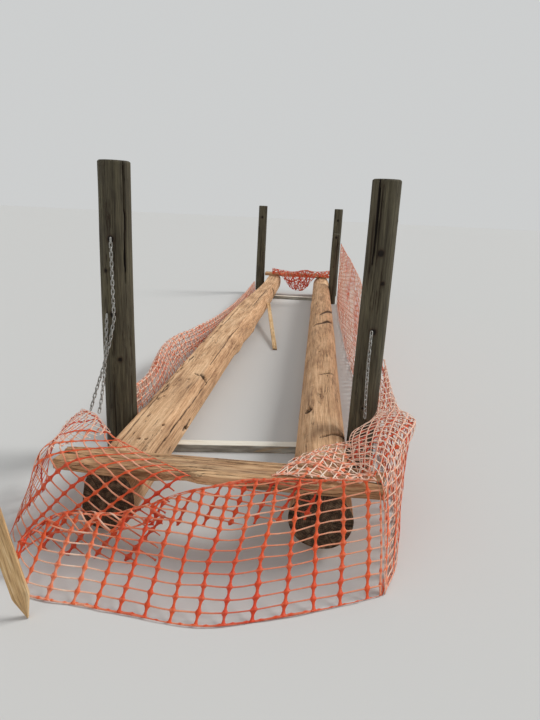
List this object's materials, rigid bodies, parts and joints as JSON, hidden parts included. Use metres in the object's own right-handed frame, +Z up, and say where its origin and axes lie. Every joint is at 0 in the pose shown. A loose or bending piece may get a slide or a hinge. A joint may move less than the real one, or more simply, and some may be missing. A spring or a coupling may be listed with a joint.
{
  "type": "log footbridge with its deck stripped",
  "caption": "Log footbridge stripped of its deck: stringer logs on cross beams, round posts, loose boards, cut chains and slack orange barrier mesh.",
  "frame": {"origin": "under the middle of the near cross beam, on the centre line, at ground level", "axes": "+X across the bridge to the right as seen from the near end, +Y along the bridge to the far end, +Z up"},
  "size_m": [1.9313, 8.0871, 1.69],
  "materials": {
    "log_wood": "weathered",
    "board_wood": "weathered",
    "post_wood": "weathered",
    "beam_timber": "sawn",
    "stake_pine": "sawn",
    "chain_steel": "galvanised",
    "barrier_mesh": "sun-faded"
  },
  "bodies": {
    "root": {"left_log": "log_wood", "right_log": "log_wood", "near_cross_beam": "beam_timber", "far_cross_beam": "beam_timber", "near_left_post": "post_wood", "near_right_post": "post_wood", "far_left_post": "post_wood", "far_right_post": "post_wood", "short_right_post": "post_wood", "near_deck_board": "board_wood", "far_deck_board": "board_wood", "front_stake": "stake_pine", "mid_stake": "stake_pine", "left_chain": "chain_steel", "left_chain_tail": "chain_steel", "right_chain": "chain_steel", "net_left_corner": "barrier_mesh", "net_front": "barrier_mesh", "net_right_corner": "barrier_mesh", "net_board_fold": "barrier_mesh", "net_left_side": "barrier_mesh", "net_right_side": "barrier_mesh", "net_far_end": "barrier_mesh"}
  },
  "joints": []
}
